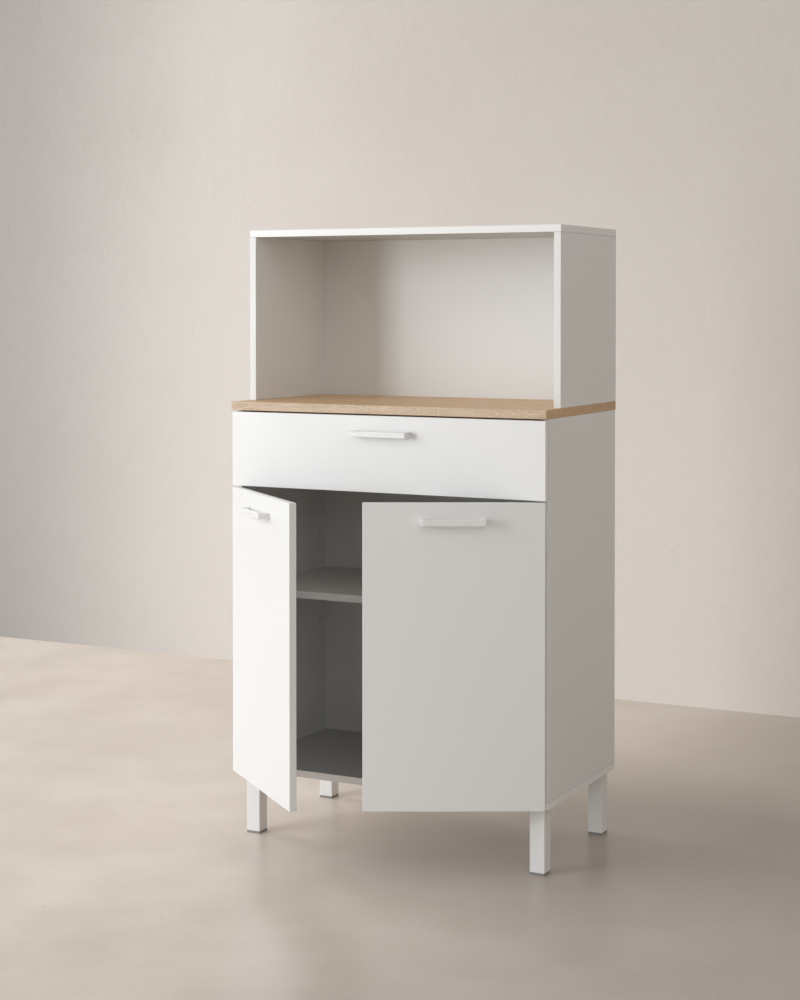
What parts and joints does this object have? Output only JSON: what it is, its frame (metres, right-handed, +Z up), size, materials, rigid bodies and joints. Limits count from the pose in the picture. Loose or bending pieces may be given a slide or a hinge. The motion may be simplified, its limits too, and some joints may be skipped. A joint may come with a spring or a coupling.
{
  "type": "microwave cabinet",
  "caption": "Free-standing white kitchen cabinet: open hutch for a microwave oven on an oak worktop, a drawer and two hinged doors below, on square legs.",
  "frame": {"origin": "on the floor, under the middle of the cabinet's box with its doors ajar", "axes": "+Z up, -Y towards the person in front of the doors, +X to that person's right"},
  "size_m": [0.72, 0.613, 1.288],
  "materials": {
    "white_melamine": "fine-textured white melamine on particleboard, edges banded",
    "white_front": "smooth satin white melamine, edges banded",
    "white_hardboard": "white-faced hardboard",
    "oak_melamine": "light oak grain along the width, matt",
    "white_steel": "white powder coat",
    "foot_plastic": "dark grey moulded",
    "handle_metal": "satin white lacquer",
    "runner_steel": "white epoxy coat",
    "roller_nylon": "natural nylon",
    "cap_plastic": "moulded white",
    "bumper": "clear soft pad",
    "beech": "fluted beech",
    "zinc_steel": "bright zinc or nickel plate"
  },
  "bodies": {
    "case": {"worktop": "oak_melamine", "hutch_left_side": "white_melamine", "hutch_right_side": "white_melamine", "hutch_top": "white_melamine", "hutch_back": "white_hardboard", "base_left_side": "white_melamine", "base_right_side": "white_melamine", "base_bottom": "white_melamine", "base_back": "white_hardboard", "shelf": "white_melamine", "shelf_pins": "zinc_steel", "front_left_leg": "white_steel", "front_right_leg": "white_steel", "rear_left_leg": "white_steel", "rear_right_leg": "white_steel", "leg_feet": "foot_plastic", "leg_inserts": "zinc_steel", "left_case_runner": "runner_steel", "right_case_runner": "runner_steel", "runner_screws": "zinc_steel", "left_hinge_arms": "zinc_steel", "left_hinge_plates": "zinc_steel", "right_hinge_arms": "zinc_steel", "right_hinge_plates": "zinc_steel", "hinge_plate_screws": "zinc_steel", "case_screws": "zinc_steel", "screw_caps": "cap_plastic", "case_dowels": "beech", "worktop_cams": "zinc_steel", "worktop_cam_bolts": "zinc_steel", "back_nails": "zinc_steel", "front_bumpers": "bumper"},
    "drawer": {"drawer_runner_screws": "zinc_steel", "drawer_front": "white_front", "drawer_left_side": "white_melamine", "drawer_right_side": "white_melamine", "drawer_back": "white_melamine", "drawer_bottom": "white_hardboard", "drawer_handle": "handle_metal", "drawer_handle_screws": "zinc_steel", "drawer_cams": "zinc_steel", "drawer_cam_bolts": "zinc_steel", "drawer_back_screws": "zinc_steel", "left_drawer_runner": "runner_steel", "right_drawer_runner": "runner_steel"},
    "left_door": {"left_door": "white_front", "left_door_handle": "handle_metal", "left_handle_screws": "zinc_steel", "left_hinge_cups": "zinc_steel", "left_cup_screws": "zinc_steel"},
    "right_door": {"right_door": "white_front", "right_door_handle": "handle_metal", "right_handle_screws": "zinc_steel", "right_hinge_cups": "zinc_steel", "right_cup_screws": "zinc_steel"},
    "left_links": {"left_hinge_links": "zinc_steel"},
    "right_links": {"right_hinge_links": "zinc_steel"},
    "case_rollers": {"case_rollers": "roller_nylon"},
    "drawer_rollers": {"drawer_rollers": "roller_nylon"}
  },
  "joints": [
    {"name": "drawer_slide", "type": "slide", "parent": "case", "child": "drawer", "axis": [0, -1, 0], "range_m": [0, 0.25]},
    {"name": "case_roller_spin", "type": "hinge", "parent": "case", "child": "case_rollers", "pos_m": [0, -0.04426, 0.7695], "axis": [1, 0, 0], "range_deg": [-2, 1434.39]},
    {"name": "drawer_roller_spin", "type": "hinge", "parent": "drawer", "child": "drawer_rollers", "pos_m": [0, 0.27774, 0.7695], "axis": [1, 0, 0], "range_deg": [-2, 1434.39]},
    {"name": "left_door_hinge", "type": "hinge", "parent": "case", "child": "left_door", "pos_m": [-0.3585, -0.07726, 0.138], "axis": [0, 0, -1], "range_deg": [-40, 50]},
    {"name": "right_door_hinge", "type": "hinge", "parent": "case", "child": "right_door", "pos_m": [0.3585, -0.07726, 0.138], "axis": [0, 0, 1], "range_deg": [-27, 63]},
    {"name": "left_link_turn", "type": "hinge", "parent": "case", "child": "left_links", "pos_m": [-0.3425, -0.06576, 0.138], "axis": [0, 0, -1], "range_deg": [-32.5, 40.5]},
    {"name": "right_link_turn", "type": "hinge", "parent": "case", "child": "right_links", "pos_m": [0.3425, -0.06576, 0.138], "axis": [0, 0, 1], "range_deg": [-22.1, 50.9]}
  ],
  "couplings": [
    {"joint": "case_roller_spin", "follows": "drawer_slide", "rad_per_m": 100},
    {"joint": "drawer_roller_spin", "follows": "drawer_slide", "rad_per_m": 100},
    {"joint": "left_link_turn", "follows": "left_door_hinge", "ratio": 0.8},
    {"joint": "right_link_turn", "follows": "right_door_hinge", "ratio": 0.8}
  ]
}
